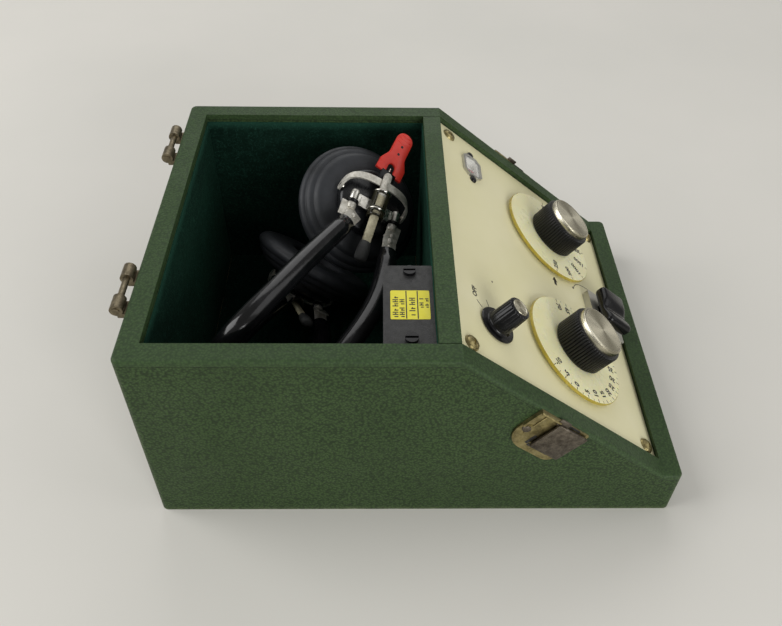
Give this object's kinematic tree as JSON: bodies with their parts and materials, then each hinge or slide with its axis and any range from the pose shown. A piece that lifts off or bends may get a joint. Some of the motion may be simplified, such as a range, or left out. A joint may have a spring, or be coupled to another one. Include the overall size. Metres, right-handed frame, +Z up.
{
  "type": "audiometer",
  "caption": "Portable audiometer in a green covered case: sloping cream panel with dials, output knob, tone bar and meter, and a felt-lined compartment holding a headset.",
  "frame": {"origin": "centre of the case's underside, on the surface it stands on", "axes": "+X to the operator's right, +Y to the rear (hinge side), +Z up; the panel slopes down towards -Y"},
  "size_m": [0.2052, 0.2611, 0.1129],
  "materials": {
    "wood": "bare softwood board",
    "leathercloth": "grained green leathercloth",
    "felt": "dark green felt",
    "brass_fitting": "aged brass",
    "nickel_fitting": "worn nickel plate",
    "screw": "nickel-plated steel",
    "panel": "cream enamel",
    "dial_disc": "ivory plastic",
    "knob": "black moulded plastic",
    "cap": "spun aluminium",
    "shaft": "ground steel",
    "bush": "turned brass",
    "switch": "phenolic",
    "can": "plain aluminium",
    "bezel": "satin aluminium",
    "meter_case": "black plastic",
    "clear": "clear",
    "needle": "red",
    "circuit_board": "resin board",
    "components": "assorted",
    "black_metal": "satin black",
    "battery": "printed can",
    "sleeve": "black vinyl",
    "clamp": "nickel plate",
    "tip": "dark grey rubber",
    "red_tab": "red",
    "blue_tab": "blue",
    "receiver": "black moulded plastic",
    "cushion": "moulded rubber"
  },
  "bodies": {
    "case": {"side_board_left": "wood", "side_board_right": "wood", "rear_board": "wood", "base_board": "wood", "front_board": "wood", "divider_board": "wood", "case_covering": "leathercloth", "panel_cleats": "wood", "felt_lining": "felt", "hinge_leaves": "brass_fitting", "hinge_pins": "nickel_fitting", "hinge_screws": "screw", "catch_plate_left": "brass_fitting", "catch_plate_right": "brass_fitting", "control_panel": "panel", "panel_screws": "screw", "control_bushes": "bush", "frequency_switch": "switch", "level_attenuator": "can", "output_switch": "can", "tone_bezel": "bezel", "tone_switch": "switch", "meter_bezel": "bezel", "meter_window": "clear", "meter_body": "meter_case", "circuit_board": "circuit_board", "board_parts": "components", "board_standoffs": "bush", "battery_box": "black_metal", "battery_cover": "black_metal", "battery_cover_screws": "screw", "battery": "battery"},
    "frequency_dial": {"frequency_disc": "dial_disc", "frequency_knob": "knob", "frequency_cap": "cap", "frequency_shaft": "shaft"},
    "level_dial": {"level_disc": "dial_disc", "level_knob": "knob", "level_cap": "cap", "level_shaft": "shaft"},
    "output_dial": {"output_knob": "knob", "output_insert": "cap", "output_shaft": "shaft"},
    "tone_key": {"tone_bar": "knob"},
    "needle": {"meter_needle": "needle"},
    "catch_left": {"catch_slide_left": "nickel_fitting"},
    "catch_right": {"catch_slide_right": "nickel_fitting"},
    "headband": {"headband_sleeves": "sleeve", "headband_clamps": "clamp", "headband_ends": "clamp"},
    "rod_upper": {"yoke_upper": "clamp", "rod_tip_upper": "tip", "tab_red": "red_tab"},
    "earphone_upper": {"receiver_upper": "receiver", "cushion_upper": "cushion"},
    "rod_lower": {"yoke_lower": "clamp", "rod_tip_lower": "tip", "tab_blue": "blue_tab"},
    "earphone_lower": {"receiver_lower": "receiver", "cushion_lower": "cushion"}
  },
  "joints": [
    {"name": "frequency_turn", "type": "hinge", "parent": "case", "child": "frequency_dial", "pos_m": [0.0438, -0.07888, 0.05958], "axis": [0, -0.627, 0.779], "range_deg": [-300, 0]},
    {"name": "level_turn", "type": "hinge", "parent": "case", "child": "level_dial", "pos_m": [-0.0438, -0.07888, 0.05958], "axis": [0, -0.627, 0.779], "range_deg": [-11, 224]},
    {"name": "output_turn", "type": "hinge", "parent": "case", "child": "output_dial", "pos_m": [-0.0596, -0.03564, 0.09438], "axis": [0, -0.627, 0.779], "range_deg": [-60, 0]},
    {"name": "tone_rock", "type": "hinge", "parent": "case", "child": "tone_key", "pos_m": [0, -0.10539, 0.03671], "axis": [0, 0.779, 0.627], "range_deg": [-6, 6], "stiffness_Nm_per_rad": 0.05},
    {"name": "needle_swing", "type": "hinge", "parent": "case", "child": "needle", "pos_m": [0.0624, -0.03404, 0.09183], "axis": [0, -0.627, 0.779], "range_deg": [-25, 25], "stiffness_Nm_per_rad": 0.0001},
    {"name": "catch_left_slide", "type": "slide", "parent": "case", "child": "catch_left", "axis": [0, 0.779, 0.627], "range_m": [0, 0.006], "stiffness_N_per_m": 200, "springref_m": -0.004},
    {"name": "catch_right_slide", "type": "slide", "parent": "case", "child": "catch_right", "axis": [0, 0.779, 0.627], "range_m": [0, 0.006], "stiffness_N_per_m": 200, "springref_m": -0.004},
    {"name": "headset_lift", "type": "slide", "parent": "case", "child": "headband", "axis": [0, 0, 1], "range_m": [0, 0.16]},
    {"name": "rod_slide_upper", "type": "slide", "parent": "headband", "child": "rod_upper", "axis": [-0.8616, 0.2911, -0.4158], "range_m": [-0.001, 0.002]},
    {"name": "rod_slide_lower", "type": "slide", "parent": "headband", "child": "rod_lower", "axis": [-0.8616, -0.2911, 0.4158], "range_m": [0, 0.001]},
    {"name": "earphone_tilt_upper", "type": "hinge", "parent": "rod_upper", "child": "earphone_upper", "pos_m": [0.03617, 0.02333, 0.08902], "axis": [0, -0.8192, -0.5736], "range_deg": [-4, 4]},
    {"name": "earphone_tilt_lower", "type": "hinge", "parent": "rod_lower", "child": "earphone_lower", "pos_m": [0.03152, 0.0645, 0.03023], "axis": [0, -0.8192, -0.5736], "range_deg": [-4, 4]}
  ]
}
